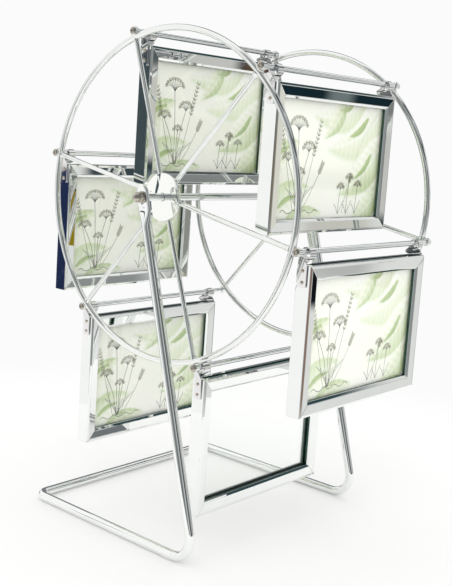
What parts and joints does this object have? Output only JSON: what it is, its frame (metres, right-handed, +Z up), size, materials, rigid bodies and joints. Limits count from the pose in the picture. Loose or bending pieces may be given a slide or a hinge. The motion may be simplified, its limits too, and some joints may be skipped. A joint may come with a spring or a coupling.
{
  "type": "rotating picture frame wheel",
  "caption": "Wire wheel on a bent tube stand that turns on its axle and carries hanging landscape picture frames with glass on both faces.",
  "frame": {"origin": "on the floor, at the bottom centre of the bounding box, under the middle of the stand", "axes": "+X along the axle from the near side to the far side, -Y towards the front, +Z up"},
  "size_m": [0.2408, 0.2864, 0.4172],
  "materials": {
    "stand_chrome": "polished chrome plate on steel tube",
    "wire_chrome": "polished chrome plate on steel wire",
    "hub_chrome": "mirror chrome plate",
    "moulding_chrome": "polished chrome plate",
    "hanger_chrome": "polished chrome plate on sheet steel",
    "clear_glass": "clear float glass with green edges",
    "print_paper": "satin photo paper"
  },
  "bodies": {
    "stand": {"stand_tube": "stand_chrome", "axle_tube": "wire_chrome", "axle_bolt_near": "wire_chrome", "axle_bolt_far": "wire_chrome"},
    "wheel": {"wheel_side_near": "hub_chrome", "wheel_side_far": "hub_chrome", "cross_rod_1": "wire_chrome", "rod_screw_1_near": "wire_chrome", "rod_screw_1_far": "wire_chrome", "cross_rod_2": "wire_chrome", "rod_screw_2_near": "wire_chrome", "rod_screw_2_far": "wire_chrome", "cross_rod_3": "wire_chrome", "rod_screw_3_near": "wire_chrome", "rod_screw_3_far": "wire_chrome", "cross_rod_4": "wire_chrome", "rod_screw_4_near": "wire_chrome", "rod_screw_4_far": "wire_chrome", "cross_rod_5": "wire_chrome", "rod_screw_5_near": "wire_chrome", "rod_screw_5_far": "wire_chrome", "cross_rod_6": "wire_chrome", "rod_screw_6_near": "wire_chrome", "rod_screw_6_far": "wire_chrome"},
    "frame_1": {"frame_1_moulding": "moulding_chrome", "frame_1_hanger_near": "hanger_chrome", "frame_1_hanger_far": "hanger_chrome", "frame_1_glass_front": "clear_glass", "frame_1_glass_back": "clear_glass", "frame_1_print": "print_paper"},
    "frame_2": {"frame_2_moulding": "moulding_chrome", "frame_2_hanger_near": "hanger_chrome", "frame_2_hanger_far": "hanger_chrome", "frame_2_glass_front": "clear_glass", "frame_2_glass_back": "clear_glass", "frame_2_print": "print_paper"},
    "frame_3": {"frame_3_moulding": "moulding_chrome", "frame_3_hanger_near": "hanger_chrome", "frame_3_hanger_far": "hanger_chrome", "frame_3_glass_front": "clear_glass", "frame_3_glass_back": "clear_glass", "frame_3_print": "print_paper"},
    "frame_4": {"frame_4_moulding": "moulding_chrome", "frame_4_hanger_near": "hanger_chrome", "frame_4_hanger_far": "hanger_chrome", "frame_4_glass_front": "clear_glass", "frame_4_glass_back": "clear_glass", "frame_4_print": "print_paper"},
    "frame_5": {"frame_5_moulding": "moulding_chrome", "frame_5_hanger_near": "hanger_chrome", "frame_5_hanger_far": "hanger_chrome", "frame_5_glass_front": "clear_glass", "frame_5_glass_back": "clear_glass"},
    "frame_6": {"frame_6_moulding": "moulding_chrome", "frame_6_hanger_near": "hanger_chrome", "frame_6_hanger_far": "hanger_chrome", "frame_6_glass_front": "clear_glass", "frame_6_glass_back": "clear_glass", "frame_6_print": "print_paper"}
  },
  "joints": [
    {"name": "wheel_spin", "type": "hinge", "parent": "stand", "child": "wheel", "pos_m": [0, 0, 0.2813], "axis": [1, 0, 0], "continuous": true},
    {"name": "frame_1_swing", "type": "hinge", "parent": "wheel", "child": "frame_1", "pos_m": [0.0081, -0.09143, 0.38573], "axis": [1, 0, 0], "continuous": true},
    {"name": "frame_2_swing", "type": "hinge", "parent": "wheel", "child": "frame_2", "pos_m": [0.0089, 0.04473, 0.41269], "axis": [1, 0, 0], "continuous": true},
    {"name": "frame_3_swing", "type": "hinge", "parent": "wheel", "child": "frame_3", "pos_m": [0.0053, 0.13616, 0.30826], "axis": [1, 0, 0], "continuous": true},
    {"name": "frame_4_swing", "type": "hinge", "parent": "wheel", "child": "frame_4", "pos_m": [0.001, 0.09143, 0.17686], "axis": [1, 0, 0], "continuous": true},
    {"name": "frame_5_swing", "type": "hinge", "parent": "wheel", "child": "frame_5", "pos_m": [0.001, -0.04473, 0.14991], "axis": [1, 0, 0], "continuous": true},
    {"name": "frame_6_swing", "type": "hinge", "parent": "wheel", "child": "frame_6", "pos_m": [0.0045, -0.13616, 0.25434], "axis": [1, 0, 0], "continuous": true}
  ],
  "couplings": [
    {"joint": "frame_1_swing", "follows": "wheel_spin", "ratio": -1},
    {"joint": "frame_2_swing", "follows": "wheel_spin", "ratio": -1},
    {"joint": "frame_3_swing", "follows": "wheel_spin", "ratio": -1},
    {"joint": "frame_4_swing", "follows": "wheel_spin", "ratio": -1},
    {"joint": "frame_5_swing", "follows": "wheel_spin", "ratio": -1},
    {"joint": "frame_6_swing", "follows": "wheel_spin", "ratio": -1}
  ]
}
